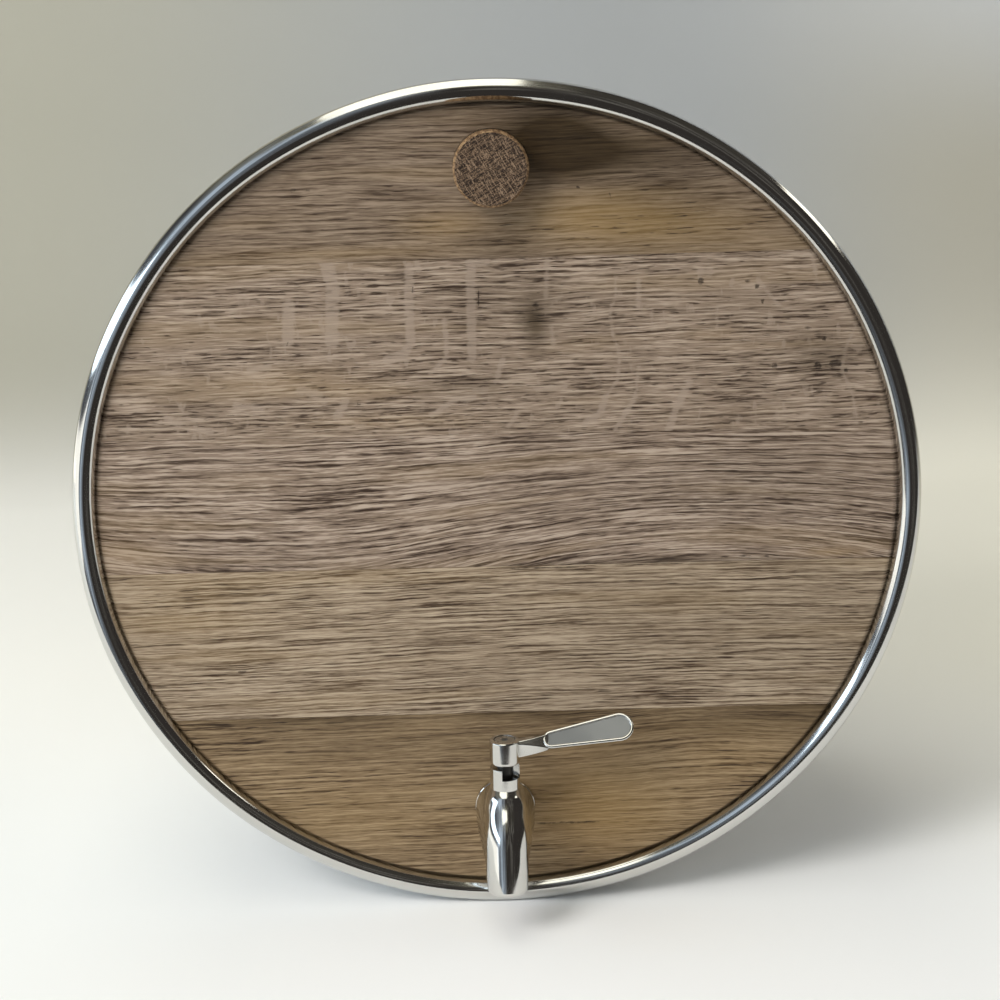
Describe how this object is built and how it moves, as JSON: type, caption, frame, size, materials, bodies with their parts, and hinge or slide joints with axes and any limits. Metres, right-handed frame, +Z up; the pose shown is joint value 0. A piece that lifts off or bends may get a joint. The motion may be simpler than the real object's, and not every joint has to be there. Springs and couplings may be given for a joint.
{
  "type": "oak cask liquor dispenser",
  "caption": "Round oak-headed steel cask lying on its rolled rim, with a pull-out bung above and a quarter-turn lever tap below.",
  "frame": {"origin": "on the table, under the middle of the object's bounding box", "axes": "+Z up; the oak head faces -Y; the shut tap's lever points along +X"},
  "size_m": [0.3799, 0.2366, 0.38],
  "materials": {
    "vessel_steel": "satin spun stainless steel",
    "rim_steel": "mirror-polished stainless steel",
    "tap_steel": "mirror-polished cast stainless steel",
    "plain_steel": "machined stainless steel",
    "silicone": "food-grade silicone",
    "black_rubber": "black rubber",
    "seat_plastic": "white fluoropolymer",
    "oak_1": "sanded, unvarnished oak",
    "oak_2": "sanded, unvarnished oak",
    "oak_3": "sanded, unvarnished oak",
    "oak_4": "sanded, unvarnished oak",
    "oak_5": "sanded, unvarnished oak",
    "oak_dowel": "turned oak",
    "oak_bung": "turned oak end grain"
  },
  "bodies": {
    "cask": {"vessel_shell": "vessel_steel", "rim_ring": "rim_steel", "head_gasket": "silicone", "head_board_1": "oak_1", "head_board_2": "oak_2", "head_board_3": "oak_3", "head_board_4": "oak_4", "head_board_5": "oak_5", "head_dowels": "oak_dowel", "tap_body": "tap_steel", "tap_outer_washer": "silicone", "tap_inner_washer": "silicone", "tap_plate_washer": "plain_steel", "tap_lock_nut": "plain_steel", "valve_seats": "seat_plastic", "seat_retainer": "plain_steel", "foot_posts": "plain_steel", "foot_pads": "black_rubber"},
    "lever": {"tap_lever": "tap_steel", "lever_screw": "plain_steel", "valve_stem": "plain_steel", "valve_ball": "plain_steel", "stem_seal_rings": "black_rubber"},
    "bung_plug": {"bung": "oak_bung"}
  },
  "joints": [
    {"name": "lever_turn", "type": "hinge", "parent": "cask", "child": "lever", "pos_m": [0.0006, -0.09265, 0.0485], "axis": [0, 0, -1], "range_deg": [0, 90]},
    {"name": "bung_pull", "type": "slide", "parent": "cask", "child": "bung_plug", "axis": [0, -1, 0], "range_m": [0, 0.04]}
  ]
}
